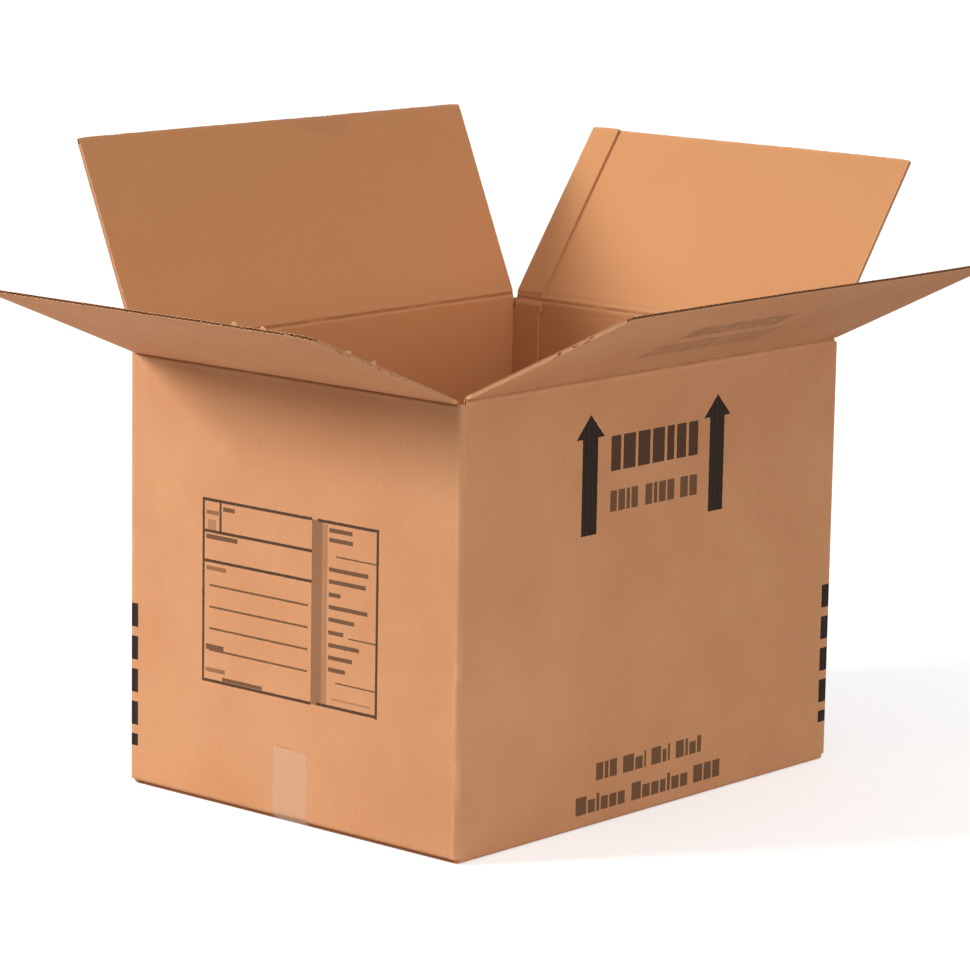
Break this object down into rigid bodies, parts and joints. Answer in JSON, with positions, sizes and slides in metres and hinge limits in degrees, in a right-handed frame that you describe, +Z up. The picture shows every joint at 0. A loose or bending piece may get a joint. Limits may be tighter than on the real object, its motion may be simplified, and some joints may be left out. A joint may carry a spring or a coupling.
{
  "type": "moving box",
  "caption": "Slotted corrugated carton for household moves, bottom taped shut, open at the top with hinged flaps leaning outward.",
  "frame": {"origin": "centre of the carton's underside, on the taped bottom seam, midway between all four walls", "axes": "+X along the length towards the wall with the glued lap inside, +Y along the width from the front wall to the rear wall, +Z up out of the open top"},
  "size_m": [0.9662, 0.7577, 0.6852],
  "materials": {
    "kraft_board": "matte brown kraft liner on single-wall C-flute board",
    "clear_tape": "clear glossy packing tape"
  },
  "bodies": {
    "carton": {"carton_body": "kraft_board", "bottom_tape": "clear_tape"},
    "front_flap": {"front_flap": "kraft_board"},
    "rear_flap": {"rear_flap": "kraft_board"},
    "left_flap": {"left_flap": "kraft_board"},
    "right_flap": {"right_flap": "kraft_board"}
  },
  "joints": [
    {"name": "front_flap_crease", "type": "hinge", "parent": "carton", "child": "front_flap", "pos_m": [0, -0.2306, 0.4718], "axis": [1, 0, 0], "range_deg": [-153.43, 91.57]},
    {"name": "rear_flap_crease", "type": "hinge", "parent": "carton", "child": "rear_flap", "pos_m": [0, 0.2306, 0.4718], "axis": [-1, 0, 0], "range_deg": [-112.47, 132.53]},
    {"name": "left_flap_crease", "type": "hinge", "parent": "carton", "child": "left_flap", "pos_m": [-0.3068, 0, 0.4675], "axis": [0, -1, 0], "range_deg": [-158.39, 86.61]},
    {"name": "right_flap_crease", "type": "hinge", "parent": "carton", "child": "right_flap", "pos_m": [0.3068, 0, 0.4675], "axis": [0, 1, 0], "range_deg": [-126.32, 118.68]}
  ]
}
